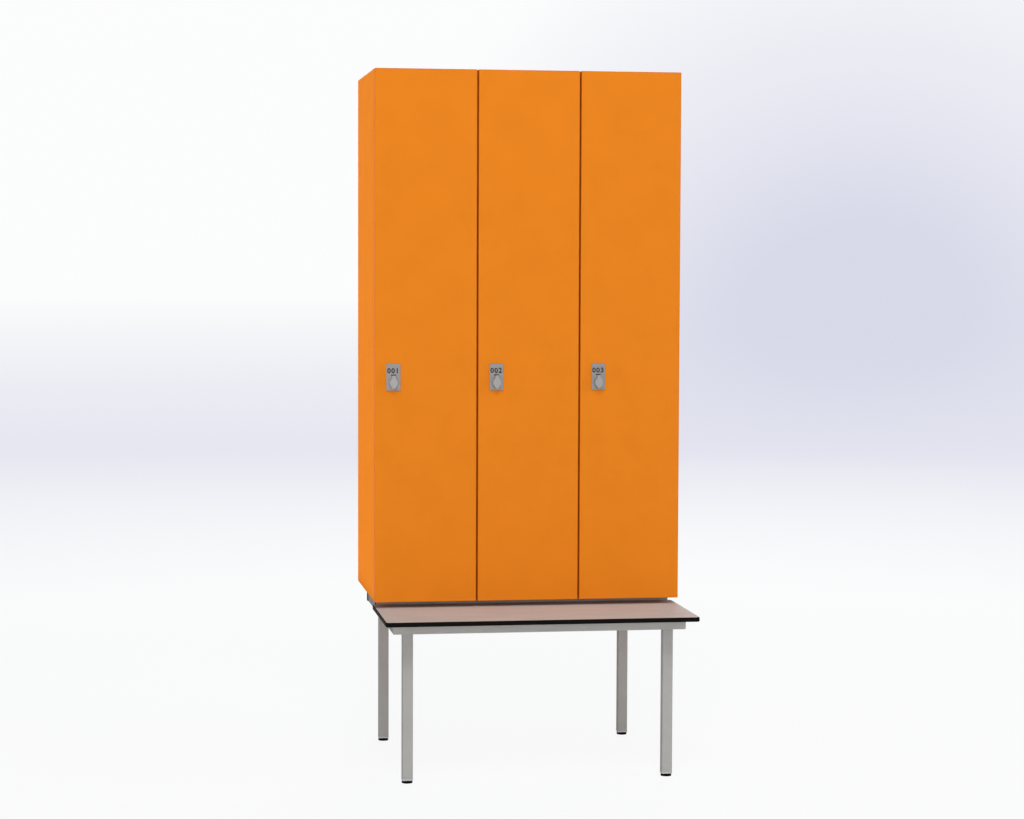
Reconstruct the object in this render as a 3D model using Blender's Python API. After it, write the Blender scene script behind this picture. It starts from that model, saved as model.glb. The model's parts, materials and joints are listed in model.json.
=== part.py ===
"""Three-door locker that stands on the rear half of a steel bench frame with a laminate seat.

Lengths are metres and angles are degrees. +Z is up and the doors face -Y. The origin is on the floor,
under the middle of the whole outline. Each sub-part is one object, and a piece that moves has its
origin on its joint's axis.
"""

import math

import bmesh
import bpy
from mathutils import Matrix, Vector

# Driving sizes of the cabinet
CABINET_WIDTH = 0.900
CABINET_DEPTH = 0.520
CABINET_HEIGHT = 1.545
BOARD_THICKNESS = 0.018
DOOR_THICKNESS = 0.018
DOOR_SPACING = 0.0045
DOOR_STANDOFF = 0.0035
BACK_THICKNESS = 0.008

# Driving sizes of the bench
SEAT_INSET = 0.001
SEAT_PROJECTION = 0.301
SEAT_THICKNESS = 0.013
RAIL_TOP_HEIGHT = 0.461
FRAME_INSET = 0.0282
SEAT_OVERHANG = 0.0665
TUBE_WIDTH = 0.030
TUBE_WALL = 0.002

# Clearances
FIT_GAP = 0.0003
CUT_OVERRUN = 0.004
FUSE_OVERLAP = 0.001

# Edges of the boards and tubes
BOARD_EDGE_RADIUS = 0.0008
DOOR_EDGE_RADIUS = 0.0015
SEAT_EDGE_RADIUS = 0.0025
SEAT_CORNER_RADIUS = 0.010
TUBE_CORNER_RADIUS = 0.003

# Fittings inside the cabinet
SHELF_HEIGHT = 1.2146
SHELF_SETBACK = 0.022
COAT_RAIL_DROP = 0.046
COAT_RAIL_SETBACK = 0.250
COAT_RAIL_RADIUS = 0.0125
COAT_RAIL_WALL = 0.0015
SOCKET_RADIUS = 0.0160
SOCKET_DEPTH = 0.012
SOCKET_FLANGE_RADIUS = 0.023
SOCKET_FLANGE_THICKNESS = 0.003

# Bench frame
BEARER_INSET = 0.013
BEARER_SETBACK = 0.088
SEAT_TO_BEARER = 0.004
REAR_RAIL_INSET = 0.010
FOOT_RADIUS = 0.0145
FOOT_HEIGHT = 0.008
FOOT_EDGE_RADIUS = 0.002
FOOT_INSERT_HEIGHT = 0.022
FOOT_INSERT_CHAMFER = 0.0015

# Concealed hinges
HINGE_INSET = 0.100
PIN_INSET = 0.0088
PIN_DEPTH = 0.0093
PIN_RADIUS = 0.0015
PIN_CLEARANCE = 0.00025
EYE_RADIUS = 0.0030
STRAP_THICKNESS = 0.003
STRAP_HEIGHT = 0.010
STRAP_BEND_RADIUS = 0.004
CUP_HOLE_RADIUS = 0.0175
CUP_EDGE_DISTANCE = 0.003
CUP_DEPTH = 0.013
CUP_WALL = 0.0012
CUP_FLOOR = 0.001
FLANGE_RADIUS = 0.018
FLANGE_THICKNESS = 0.0012
EAR_OFFSET = 0.0095
EAR_WIDTH = 0.014
EAR_LENGTH = 0.054
EAR_THICKNESS = 0.0010
EAR_CORNER_RADIUS = 0.006
ARM_SETBACK = 0.0005
ARM_LENGTH = 0.058
ARM_THICKNESS = 0.006
ARM_HEIGHT = 0.016
ARM_EDGE_RADIUS = 0.001
BASE_THICKNESS = 0.0017
BASE_START = 0.012
BASE_LENGTH = 0.042
WING_DEPTH = 0.037
WING_WIDTH = 0.013
WING_LENGTH = 0.050
WING_THICKNESS = 0.0010
WING_RELIEF = 0.0002
WING_CORNER_RADIUS = 0.006

# Locks
LOCK_INSET = 0.0535
LOCK_HEIGHT = 0.6404
PLATE_WIDTH = 0.041
PLATE_HEIGHT = 0.078
PLATE_THICKNESS = 0.004
PLATE_RISE = 0.0155
PLATE_CORNER_RADIUS = 0.003
PLATE_EDGE_RADIUS = 0.001
BARREL_RADIUS = 0.0095
BARREL_TAIL = 0.0095
SPINDLE_RADIUS = 0.004
SPINDLE_CLEARANCE = 0.0003
SPINDLE_SQUARE = 0.0056
SPINDLE_STICKOUT = 0.001
KNOB_HEIGHT = 0.014
KNOB_BULGE_RADIUS = 0.0123
KNOB_BULGE_DROP = 0.0015
KNOB_NECK_WIDTH = 0.0098
KNOB_NECK_REACH = 0.0205
KNOB_SHOULDER_WIDTH = 0.0106
KNOB_SHOULDER_REACH = 0.013
KNOB_TIP_RADIUS = 0.006
KNOB_TIP_REACH = 0.019
KNOB_EDGE_RADIUS = 0.0015
CAM_THICKNESS = 0.003
CAM_WIDTH = 0.016
CAM_REACH = 0.032
STRIKE_CLEARANCE = 0.0015
STRIKE_THICKNESS = 0.002
STRIKE_OVERLAP = 0.0105
STRIKE_HEIGHT = 0.044
STRIKE_BASE_DEPTH = 0.032

# Facets
ROUND_STEPS = 20
CORNER_STEPS = 3
EDGE_STEPS = 2
SHARP_ANGLE = 35

# Places worked out from the sizes
DOOR_NUMBERS = (1, 2, 3)
DOOR_WIDTH = (CABINET_WIDTH - 2 * DOOR_SPACING) / 3
DOOR_PITCH = DOOR_WIDTH + DOOR_SPACING
TOTAL_DEPTH = SEAT_PROJECTION + CABINET_DEPTH
DOOR_FRONT = SEAT_PROJECTION - TOTAL_DEPTH / 2
DOOR_BACK = DOOR_FRONT + DOOR_THICKNESS
CARCASS_FRONT = DOOR_BACK + DOOR_STANDOFF
CABINET_BACK = DOOR_FRONT + CABINET_DEPTH
INNER_BACK = CABINET_BACK - BACK_THICKNESS - FIT_GAP
SIDE_FACE = CABINET_WIDTH / 2 - BOARD_THICKNESS
SEAT_WIDTH = CABINET_WIDTH - 2 * SEAT_INSET
FRAME_WIDTH = CABINET_WIDTH - 2 * FRAME_INSET
BEARER_LENGTH = CABINET_WIDTH - 2 * BEARER_INSET
PARTITION_CENTRE = DOOR_PITCH / 2
BEARER_BOTTOM = RAIL_TOP_HEIGHT + FIT_GAP
BEARER_TOP = BEARER_BOTTOM + TUBE_WIDTH
CABINET_BOTTOM = BEARER_TOP + FIT_GAP
CABINET_TOP = CABINET_BOTTOM + CABINET_HEIGHT
FRAME_FRONT = DOOR_FRONT - SEAT_PROJECTION + SEAT_OVERHANG
REAR_RAIL_BACK = CABINET_BACK - REAR_RAIL_INSET
REAR_RAIL_FRONT = REAR_RAIL_BACK - TUBE_WIDTH
RAIL_BOTTOM = RAIL_TOP_HEIGHT - TUBE_WIDTH
RAIL_CENTRE = RAIL_TOP_HEIGHT - TUBE_WIDTH / 2
ARM_NEAR = BOARD_THICKNESS + FIT_GAP + BASE_THICKNESS - PIN_INSET
ARM_FRONT = DOOR_THICKNESS + DOOR_STANDOFF + ARM_SETBACK - PIN_DEPTH
CUP_CENTRE = CUP_EDGE_DISTANCE + CUP_HOLE_RADIUS - PIN_INSET
CUP_BOTTOM = DOOR_THICKNESS - CUP_DEPTH - PIN_DEPTH
CUP_OUTER_RADIUS = CUP_HOLE_RADIUS - FIT_GAP
CUP_INNER_RADIUS = CUP_OUTER_RADIUS - CUP_WALL
PLATE_FRONT = -FIT_GAP - PLATE_THICKNESS
BARREL_END = DOOR_THICKNESS + BARREL_TAIL
CAM_FRONT = BARREL_END + FIT_GAP
CAM_BACK = CAM_FRONT + CAM_THICKNESS

# Finishes as colour, roughness and metallic value
ORANGE_LAMINATE = ((0.85, 0.24, 0.016), 0.45, 0.0)
GREY_LAMINATE = ((0.52, 0.52, 0.50), 0.55, 0.0)
SEAT_LAMINATE = ((0.50, 0.34, 0.28), 0.45, 0.0)
GREY_PAINT = ((0.34, 0.33, 0.32), 0.50, 0.1)
BLACK_PLASTIC = ((0.010, 0.010, 0.010), 0.60, 0.0)
PLATE_GREY = ((0.31, 0.28, 0.27), 0.40, 0.3)
ZINC = ((0.55, 0.55, 0.56), 0.35, 0.9)
CHROME = ((0.62, 0.62, 0.64), 0.15, 1.0)


def clear_scene():
    for thing in list(bpy.data.objects):
        bpy.data.objects.remove(thing)


def painted(name, finish):
    colour, roughness, metallic = finish
    paint = bpy.data.materials.new(name + "_finish")
    paint.use_nodes = True
    shader = paint.node_tree.nodes["Principled BSDF"]
    shader.inputs["Base Color"].default_value = (*colour, 1.0)
    shader.inputs["Roughness"].default_value = roughness
    shader.inputs["Metallic"].default_value = metallic
    return paint


def add_part(name, mesh, finish, location, parent=None):
    """Puts a named sub-part in the scene. Its mesh is given about its own origin."""
    mesh.name = name
    mesh.materials.clear()
    mesh.materials.append(painted(name, finish))
    mesh.shade_smooth()
    mesh.set_sharp_from_angle(angle=math.radians(SHARP_ANGLE))
    part = bpy.data.objects.new(name, mesh)
    bpy.context.collection.objects.link(part)
    part.location = Vector(location)
    if parent is not None:
        part.parent = parent
        part.location = Vector(location) - parent.location
    return part


def mesh_of(shape):
    """Closes a bmesh into a mesh whose faces point out."""
    bmesh.ops.recalc_face_normals(shape, faces=shape.faces)
    mesh = bpy.data.meshes.new("shape")
    shape.to_mesh(mesh)
    shape.free()
    return mesh


def moved(mesh, offset=(0, 0, 0), turn=None):
    """Turns a mesh by (degrees, axis), then moves it."""
    if turn is not None:
        mesh.transform(Matrix.Rotation(math.radians(turn[0]), 4, turn[1]))
    mesh.transform(Matrix.Translation(offset))
    return mesh


def block(low, high, edge_radius=0, edge_steps=EDGE_STEPS):
    """A box between two corners, with all its edges rounded."""
    low = Vector(low)
    high = Vector(high)
    shape = bmesh.new()
    bmesh.ops.create_cube(shape, size=1)
    bmesh.ops.scale(shape, vec=high - low, verts=shape.verts)
    if edge_radius:
        bmesh.ops.bevel(
            shape,
            geom=list(shape.edges),
            offset=edge_radius,
            segments=edge_steps,
            profile=0.5,
            affect="EDGES",
        )
    bmesh.ops.translate(shape, vec=(low + high) / 2, verts=shape.verts)
    return mesh_of(shape)


def arc(centre, radius, start, end, steps):
    """Points on an arc, both ends included, with its angles in degrees."""
    points = []
    for step in range(steps + 1):
        angle = math.radians(start + (end - start) * step / steps)
        points.append((centre[0] + radius * math.cos(angle), centre[1] + radius * math.sin(angle)))
    return points


def rounded_rectangle(width, height, radius, steps=CORNER_STEPS):
    """Corner arcs of a rectangle about the origin, anticlockwise."""
    points = []
    for quarter, (side, rise) in enumerate(((1, 1), (-1, 1), (-1, -1), (1, -1))):
        centre = (side * (width / 2 - radius), rise * (height / 2 - radius))
        points += arc(centre, radius, quarter * 90, quarter * 90 + 90, steps)
    return points


def extruded(outline, start, end, edge_radius=0):
    """An outline in X and Y, carried from one height to another. Its end edges can be rounded."""
    shape = bmesh.new()
    face = shape.faces.new([shape.verts.new((x, y, start)) for x, y in outline])
    grown = bmesh.ops.extrude_face_region(shape, geom=[face])
    top = [item for item in grown["geom"] if isinstance(item, bmesh.types.BMVert)]
    bmesh.ops.translate(shape, vec=(0, 0, end - start), verts=top)
    if edge_radius:
        ends = [edge for edge in shape.edges if edge.verts[0].co.z == edge.verts[1].co.z]
        bmesh.ops.bevel(
            shape,
            geom=ends,
            offset=edge_radius,
            segments=EDGE_STEPS,
            profile=0.5,
            affect="EDGES",
        )
    return mesh_of(shape)


def turned(profile, steps=ROUND_STEPS):
    """A solid of revolution about Z. The profile's (radius, height) points run round its section."""
    shape = bmesh.new()
    rings = []
    for radius, height in profile:
        if radius == 0:
            rings.append([shape.verts.new((0, 0, height))])
            continue
        rings.append([shape.verts.new((x, y, height)) for x, y in arc((0, 0), radius, 0, 360, steps)[:-1]])
    for lower, upper in zip(rings, rings[1:] + rings[:1]):
        for step in range(steps):
            after = step + 1
            corners = (
                lower[step % len(lower)],
                lower[after % len(lower)],
                upper[after % len(upper)],
                upper[step % len(upper)],
            )
            corners = list(dict.fromkeys(corners))
            if len(corners) > 2:
                shape.faces.new(corners)
    return mesh_of(shape)


def rod(radius, start, end, steps=ROUND_STEPS):
    """A plain cylinder along Z."""
    return turned(((0, start), (radius, start), (radius, end), (0, end)), steps)


def fused(base, *operations):
    """The base mesh after each (operation, tool mesh) pair, done by exact Booleans."""
    body = bpy.data.objects.new("body", base)
    bpy.context.collection.objects.link(body)
    tools = []
    for operation, mesh in operations:
        tool = bpy.data.objects.new("tool", mesh)
        bpy.context.collection.objects.link(tool)
        modifier = body.modifiers.new(operation.lower(), "BOOLEAN")
        modifier.operation = operation
        modifier.solver = "EXACT"
        modifier.object = tool
        tools.append(tool)
    graph = bpy.context.evaluated_depsgraph_get()
    result = bpy.data.meshes.new_from_object(body.evaluated_get(graph))
    for thing in [body, *tools]:
        bpy.data.objects.remove(thing)
    return result


def square_tube(length, height=TUBE_WIDTH, mitred_start=False, mitred_end=False):
    """A tube along X whose outer side faces -Y. A mitred end slopes back from that side at 45 degrees."""
    inner_radius = TUBE_CORNER_RADIUS - TUBE_WALL
    outer = rounded_rectangle(TUBE_WIDTH, height, TUBE_CORNER_RADIUS, EDGE_STEPS)
    inner = rounded_rectangle(TUBE_WIDTH - 2 * TUBE_WALL, height - 2 * TUBE_WALL, inner_radius, EDGE_STEPS)
    shape = bmesh.new()
    loops = []
    for outline, end in ((outer, -1), (outer, 1), (inner, 1), (inner, -1)):
        mitred = mitred_end if end > 0 else mitred_start
        loop = []
        for y, z in outline:
            slope = (y + TUBE_WIDTH / 2) if mitred else 0
            loop.append(shape.verts.new((end * (length / 2 - slope), y, z)))
        loops.append(loop)
    for first, second in zip(loops, loops[1:] + loops[:1]):
        for index in range(len(outer)):
            after = (index + 1) % len(outer)
            shape.faces.new((first[index], first[after], second[after], second[index]))
    return mesh_of(shape)


def add_board(name, low, high, finish):
    """A panel between two corners, with its origin at its middle."""
    middle = (Vector(low) + Vector(high)) / 2
    mesh = block(Vector(low) - middle, Vector(high) - middle, BOARD_EDGE_RADIUS, 1)
    return add_part(name, mesh, finish, middle)


# Bench


def add_rails():
    """Front and side rails mitred at the front corners, and a taller rear rail that carries the cabinet."""
    back_off = FIT_GAP / math.sqrt(2)
    front_length = FRAME_WIDTH - 2 * back_off
    front_middle = (0, FRAME_FRONT + TUBE_WIDTH / 2, RAIL_CENTRE)
    add_part("front_rail", square_tube(front_length, TUBE_WIDTH, True, True), GREY_PAINT, front_middle)

    side_front = FRAME_FRONT + back_off
    side_back = REAR_RAIL_FRONT - FIT_GAP
    side_length = side_back - side_front
    for name, side in (("side_rail_left", -1), ("side_rail_right", 1)):
        mesh = square_tube(side_length, TUBE_WIDTH, side > 0, side < 0)
        moved(mesh, turn=(side * 90, "Z"))
        middle = (side * (FRAME_WIDTH - TUBE_WIDTH) / 2, (side_front + side_back) / 2, RAIL_CENTRE)
        add_part(name, mesh, GREY_PAINT, middle)

    rear_height = BEARER_TOP - RAIL_BOTTOM
    rear_middle = (0, REAR_RAIL_BACK - TUBE_WIDTH / 2, (BEARER_TOP + RAIL_BOTTOM) / 2)
    add_part("rear_rail", square_tube(FRAME_WIDTH, rear_height), GREY_PAINT, rear_middle)

    bearer_middle = (0, DOOR_FRONT + BEARER_SETBACK + TUBE_WIDTH / 2, BEARER_BOTTOM + TUBE_WIDTH / 2)
    add_part("cabinet_bearer", square_tube(BEARER_LENGTH), GREY_PAINT, bearer_middle)


def foot_mesh():
    """A round glide with a square plug that goes up into the leg."""
    edge_centre = (FOOT_RADIUS - FOOT_EDGE_RADIUS, FOOT_EDGE_RADIUS)
    bottom_edge = arc(edge_centre, FOOT_EDGE_RADIUS, -90, 0, CORNER_STEPS)
    glide = turned([(0, 0), *bottom_edge, (FOOT_RADIUS, FOOT_HEIGHT), (0, FOOT_HEIGHT)])
    plug_width = TUBE_WIDTH - 2 * TUBE_WALL - 2 * FIT_GAP
    plug_outline = rounded_rectangle(plug_width, plug_width, FOOT_INSERT_CHAMFER, 1)
    plug_top = FOOT_HEIGHT + FIT_GAP + FOOT_INSERT_HEIGHT
    plug = extruded(plug_outline, FOOT_HEIGHT - FUSE_OVERLAP, plug_top)
    return fused(glide, ("UNION", plug))


def add_legs():
    """Four legs in the inner corners of the rails, each on its glide."""
    side_place = FRAME_WIDTH / 2 - TUBE_WIDTH - FIT_GAP - TUBE_WIDTH / 2
    front_place = FRAME_FRONT + TUBE_WIDTH + FIT_GAP + TUBE_WIDTH / 2
    rear_place = REAR_RAIL_FRONT - FIT_GAP - TUBE_WIDTH / 2
    leg_bottom = FOOT_HEIGHT + FIT_GAP
    leg_length = RAIL_TOP_HEIGHT - leg_bottom
    for end, y in (("front", front_place), ("rear", rear_place)):
        for hand, side in (("left", -1), ("right", 1)):
            mesh = moved(square_tube(leg_length), turn=(90, "Y"))
            middle = (side * side_place, y, leg_bottom + leg_length / 2)
            add_part(f"leg_{end}_{hand}", mesh, GREY_PAINT, middle)
            add_part(f"foot_{end}_{hand}", foot_mesh(), BLACK_PLASTIC, (side * side_place, y, 0))


def add_seat():
    front = DOOR_FRONT - SEAT_PROJECTION
    back = DOOR_FRONT + BEARER_SETBACK - SEAT_TO_BEARER
    outline = rounded_rectangle(SEAT_WIDTH, back - front, SEAT_CORNER_RADIUS, 2 * CORNER_STEPS)
    mesh = extruded(outline, -SEAT_THICKNESS / 2, SEAT_THICKNESS / 2, SEAT_EDGE_RADIUS)
    middle = (0, (front + back) / 2, RAIL_TOP_HEIGHT + FIT_GAP + SEAT_THICKNESS / 2)
    add_part("seat_board", mesh, SEAT_LAMINATE, middle)


# Cabinet


def door_edges(number):
    """X of a door's opening edge and of its hinge edge."""
    middle = (number - 2) * DOOR_PITCH
    return middle - DOOR_WIDTH / 2, middle + DOOR_WIDTH / 2


def compartment_faces(number):
    """X of the left and right inner faces of one door's compartment."""
    opening_edge, hinge_edge = door_edges(number)
    past_edge = BOARD_THICKNESS / 2 - DOOR_SPACING / 2
    left = -SIDE_FACE if number == DOOR_NUMBERS[0] else opening_edge + past_edge
    right = SIDE_FACE if number == DOOR_NUMBERS[-1] else hinge_edge - past_edge
    return left, right


def add_carcass():
    """Sides, partitions, top, bottom and back."""
    inner_top = CABINET_TOP - BOARD_THICKNESS - FIT_GAP
    inner_bottom = CABINET_BOTTOM + BOARD_THICKNESS + FIT_GAP
    inner_side = SIDE_FACE - FIT_GAP
    for hand, side in (("left", -1), ("right", 1)):
        places = sorted((side * SIDE_FACE, side * CABINET_WIDTH / 2))
        low = (places[0], CARCASS_FRONT, CABINET_BOTTOM)
        high = (places[1], CABINET_BACK, CABINET_TOP)
        add_board(f"side_panel_{hand}", low, high, ORANGE_LAMINATE)
        low = (side * PARTITION_CENTRE - BOARD_THICKNESS / 2, CARCASS_FRONT, inner_bottom)
        high = (side * PARTITION_CENTRE + BOARD_THICKNESS / 2, INNER_BACK, inner_top)
        add_board(f"partition_{hand}", low, high, GREY_LAMINATE)
    low = (-inner_side, CARCASS_FRONT, CABINET_TOP - BOARD_THICKNESS)
    add_board("top_panel", low, (inner_side, INNER_BACK, CABINET_TOP), ORANGE_LAMINATE)
    high = (inner_side, INNER_BACK, CABINET_BOTTOM + BOARD_THICKNESS)
    add_board("bottom_panel", (-inner_side, CARCASS_FRONT, CABINET_BOTTOM), high, GREY_LAMINATE)
    low = (-inner_side, CABINET_BACK - BACK_THICKNESS, CABINET_BOTTOM)
    add_board("back_panel", low, (inner_side, CABINET_BACK, CABINET_TOP), GREY_LAMINATE)


def coat_rail_mesh(length):
    """A tube with a flanged socket on each end, turned as one ring about its own length."""
    half = length / 2
    flange_inner = half - SOCKET_FLANGE_THICKNESS
    socket_inner = half - SOCKET_DEPTH
    bore = COAT_RAIL_RADIUS - COAT_RAIL_WALL
    side = [
        (bore, half),
        (SOCKET_FLANGE_RADIUS, half),
        (SOCKET_FLANGE_RADIUS, flange_inner),
        (SOCKET_RADIUS, flange_inner),
        (SOCKET_RADIUS, socket_inner),
        (COAT_RAIL_RADIUS, socket_inner),
    ]
    other_side = [(radius, -height) for radius, height in reversed(side)]
    return moved(turned(side + other_side), turn=(90, "Y"))


def add_fittings(number):
    """The shelf of one compartment and the coat rail under it."""
    left, right = compartment_faces(number)
    shelf_bottom = CABINET_BOTTOM + SHELF_HEIGHT
    low = (left + FIT_GAP, CARCASS_FRONT + SHELF_SETBACK, shelf_bottom)
    high = (right - FIT_GAP, INNER_BACK, shelf_bottom + BOARD_THICKNESS)
    add_board(f"shelf_{number}", low, high, GREY_LAMINATE)
    mesh = coat_rail_mesh(right - left - 2 * FIT_GAP)
    middle = ((left + right) / 2, CARCASS_FRONT + COAT_RAIL_SETBACK, shelf_bottom - COAT_RAIL_DROP)
    add_part(f"coat_rail_{number}", mesh, CHROME, middle)


# Doors, hinges and locks


def hinge_heights():
    """Z of a door's three hinges."""
    low = CABINET_BOTTOM + HINGE_INSET
    high = CABINET_TOP - HINGE_INSET
    return low, (low + high) / 2, high


def cup_mesh():
    """The hinge cup about its pin, with an eared flange on the door's back and the pin across its mouth."""
    flange_start = CUP_DEPTH + FIT_GAP
    flange_end = flange_start + FLANGE_THICKNESS
    shell = turned(
        (
            (0, 0),
            (CUP_OUTER_RADIUS, 0),
            (CUP_OUTER_RADIUS, flange_start),
            (FLANGE_RADIUS, flange_start),
            (FLANGE_RADIUS, flange_end),
            (0, flange_end),
        )
    )
    ear_start = flange_start + (FLANGE_THICKNESS - EAR_THICKNESS) / 2
    ear_outline = rounded_rectangle(EAR_WIDTH, EAR_LENGTH, EAR_CORNER_RADIUS)
    ears = extruded(ear_outline, ear_start, ear_start + EAR_THICKNESS)
    moved(ears, (-EAR_OFFSET, 0, 0))
    mouth = rod(CUP_INNER_RADIUS, CUP_FLOOR, flange_end + CUT_OVERRUN)
    for mesh in (shell, ears, mouth):
        moved(mesh, turn=(-90, "X"))
        moved(mesh, (-CUP_CENTRE, CUP_BOTTOM, 0))
    pin = rod(PIN_RADIUS, -CUP_HOLE_RADIUS, CUP_HOLE_RADIUS, ROUND_STEPS // 2)
    mouth_round_pin = fused(mouth, ("DIFFERENCE", pin))
    return fused(shell, ("UNION", ears), ("DIFFERENCE", mouth_round_pin))


def strap_outline(riser_centre, riser_end):
    """The cranked strap from the pin into the cup, round a bend and back out of its mouth."""
    half = STRAP_THICKNESS / 2
    bend = (riser_centre + STRAP_BEND_RADIUS, STRAP_BEND_RADIUS)
    outer = arc(bend, STRAP_BEND_RADIUS + half, 270, 180, CORNER_STEPS)
    inner = arc(bend, STRAP_BEND_RADIUS - half, 180, 270, CORNER_STEPS)
    ends = [(riser_centre - half, riser_end), (riser_centre + half, riser_end)]
    return [(0, -half), *outer, *ends, *inner, (0, half)]


def arm_mesh(panel_face):
    """The hinge arm about its pin, with its base on a panel whose face is that far right of the pin."""
    near = -ARM_NEAR
    far = near - ARM_THICKNESS
    back = ARM_FRONT + ARM_LENGTH
    half = ARM_HEIGHT / 2
    strap = strap_outline((near + far) / 2, ARM_FRONT + STRAP_BEND_RADIUS)
    arm = extruded(strap, -STRAP_HEIGHT / 2, STRAP_HEIGHT / 2)
    eye = rod(EYE_RADIUS, -STRAP_HEIGHT / 2, STRAP_HEIGHT / 2)
    bar = block((far, ARM_FRONT, -half), (near, back, half), ARM_EDGE_RADIUS, 1)
    seat = panel_face - FIT_GAP
    base_front = ARM_FRONT + BASE_START
    base_half = half - 2 * ARM_EDGE_RADIUS
    base = block((near - FUSE_OVERLAP, base_front, -base_half), (seat, base_front + BASE_LENGTH, base_half))
    wing = extruded(rounded_rectangle(WING_LENGTH, WING_WIDTH, WING_CORNER_RADIUS), -WING_THICKNESS, 0)
    moved(wing, turn=(90, "Y"))
    moved(wing, (seat - WING_RELIEF, DOOR_THICKNESS + DOOR_STANDOFF - PIN_DEPTH + WING_DEPTH, 0))
    hole_half = STRAP_HEIGHT / 2 + CUT_OVERRUN
    hole = rod(PIN_RADIUS + PIN_CLEARANCE, -hole_half, hole_half)
    return fused(arm, ("UNION", eye), ("UNION", bar), ("UNION", base), ("UNION", wing), ("DIFFERENCE", hole))


def door_mesh():
    """A door about its pin axis and its own middle height, bored for its hinge cups and its lock."""
    hinge_edge = PIN_INSET
    opening_edge = hinge_edge - DOOR_WIDTH
    half = CABINET_HEIGHT / 2
    front = -PIN_DEPTH
    back = front + DOOR_THICKNESS
    panel = block((opening_edge, front, -half), (hinge_edge, back, half), DOOR_EDGE_RADIUS)
    middle_height = CABINET_BOTTOM + half
    cuts = []
    for height in hinge_heights():
        hole = rod(CUP_HOLE_RADIUS, -FIT_GAP, CUP_DEPTH + CUT_OVERRUN)
        moved(hole, turn=(-90, "X"))
        cuts.append(("DIFFERENCE", moved(hole, (-CUP_CENTRE, CUP_BOTTOM, height - middle_height))))
    bore = rod(BARREL_RADIUS + FIT_GAP, -CUT_OVERRUN, DOOR_THICKNESS + CUT_OVERRUN)
    moved(bore, turn=(-90, "X"))
    lock_offset = (opening_edge + LOCK_INSET, front, LOCK_HEIGHT - half)
    cuts.append(("DIFFERENCE", moved(bore, lock_offset)))
    return fused(panel, *cuts)


def housing_mesh():
    """The number plate with the lock's barrel behind it, about the lock's axis at the door's face."""
    outline = rounded_rectangle(PLATE_WIDTH, PLATE_HEIGHT, PLATE_CORNER_RADIUS)
    plate = extruded(outline, PLATE_FRONT, -FIT_GAP, PLATE_EDGE_RADIUS)
    moved(plate, (0, -PLATE_RISE, 0))
    barrel = rod(BARREL_RADIUS, -FIT_GAP - PLATE_THICKNESS / 2, BARREL_END)
    hole_radius = SPINDLE_RADIUS + SPINDLE_CLEARANCE
    spindle_hole = rod(hole_radius, PLATE_FRONT - CUT_OVERRUN, BARREL_END + CUT_OVERRUN)
    mesh = fused(plate, ("UNION", barrel), ("DIFFERENCE", spindle_hole))
    return moved(mesh, turn=(-90, "X"))


def drop_outline():
    """The knob's outline with its neck towards -Y, straight shoulders, a round bulge and a blunt tip."""
    bulge = KNOB_BULGE_DROP
    tip = KNOB_TIP_REACH - KNOB_TIP_RADIUS
    taper = math.degrees(math.asin((KNOB_BULGE_RADIUS - KNOB_TIP_RADIUS) / (tip - bulge)))
    shoulder = (KNOB_SHOULDER_WIDTH / 2, -KNOB_SHOULDER_REACH)
    away = math.hypot(shoulder[0], shoulder[1] - bulge)
    bearing = math.degrees(math.atan2(shoulder[1] - bulge, shoulder[0]))
    touch = bearing + math.degrees(math.acos(KNOB_BULGE_RADIUS / away))
    right = [(KNOB_NECK_WIDTH / 2, -KNOB_NECK_REACH), shoulder]
    right += arc((0, bulge), KNOB_BULGE_RADIUS, touch, taper, 2 * CORNER_STEPS)
    right += arc((0, tip), KNOB_TIP_RADIUS, taper, 90, CORNER_STEPS)[:-1]
    left = [(-x, y) for x, y in reversed(right)]
    return [*right, (0, KNOB_TIP_REACH), *left]


def knob_mesh():
    """The turn knob and its spindle, about the lock's axis at the door's face."""
    knob_back = PLATE_FRONT - FIT_GAP
    knob = extruded(drop_outline(), knob_back - KNOB_HEIGHT, knob_back, KNOB_EDGE_RADIUS)
    spindle = rod(SPINDLE_RADIUS, knob_back - FUSE_OVERLAP, CAM_FRONT - FIT_GAP)
    half = SPINDLE_SQUARE / 2
    square_end = CAM_BACK + SPINDLE_STICKOUT
    square = block((-half, -half, CAM_FRONT - FIT_GAP - FUSE_OVERLAP), (half, half, square_end))
    mesh = fused(knob, ("UNION", spindle), ("UNION", square))
    return moved(mesh, turn=(-90, "X"))


def cam_mesh():
    """The locking tongue, pointing up, with a square hole for the spindle's end."""
    half = CAM_WIDTH / 2
    hub = arc((0, 0), half, 0, 180, 2 * CORNER_STEPS)
    tip = arc((0, half - CAM_REACH), half, 180, 360, 2 * CORNER_STEPS)
    cam = extruded([*hub, *tip], CAM_FRONT, CAM_BACK)
    hole_half = SPINDLE_SQUARE / 2 + FIT_GAP
    low = (-hole_half, -hole_half, CAM_FRONT - CUT_OVERRUN)
    hole = block(low, (hole_half, hole_half, CAM_BACK + CUT_OVERRUN))
    return moved(fused(cam, ("DIFFERENCE", hole)), turn=(-90, "X"))


def strike_mesh(panel_distance):
    """The bracket that the cam turns behind, about the lock's axis, on a panel that far to its left."""
    seat = FIT_GAP - panel_distance
    reach = STRIKE_OVERLAP - CAM_REACH
    back = CAM_FRONT - STRIKE_CLEARANCE
    front = back - STRIKE_THICKNESS
    half = STRIKE_HEIGHT / 2
    outline = (
        (seat, front),
        (reach, front),
        (reach, back),
        (seat + STRIKE_THICKNESS, back),
        (seat + STRIKE_THICKNESS, front + STRIKE_BASE_DEPTH),
        (seat, front + STRIKE_BASE_DEPTH),
    )
    return extruded(outline, -half, half)


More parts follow.
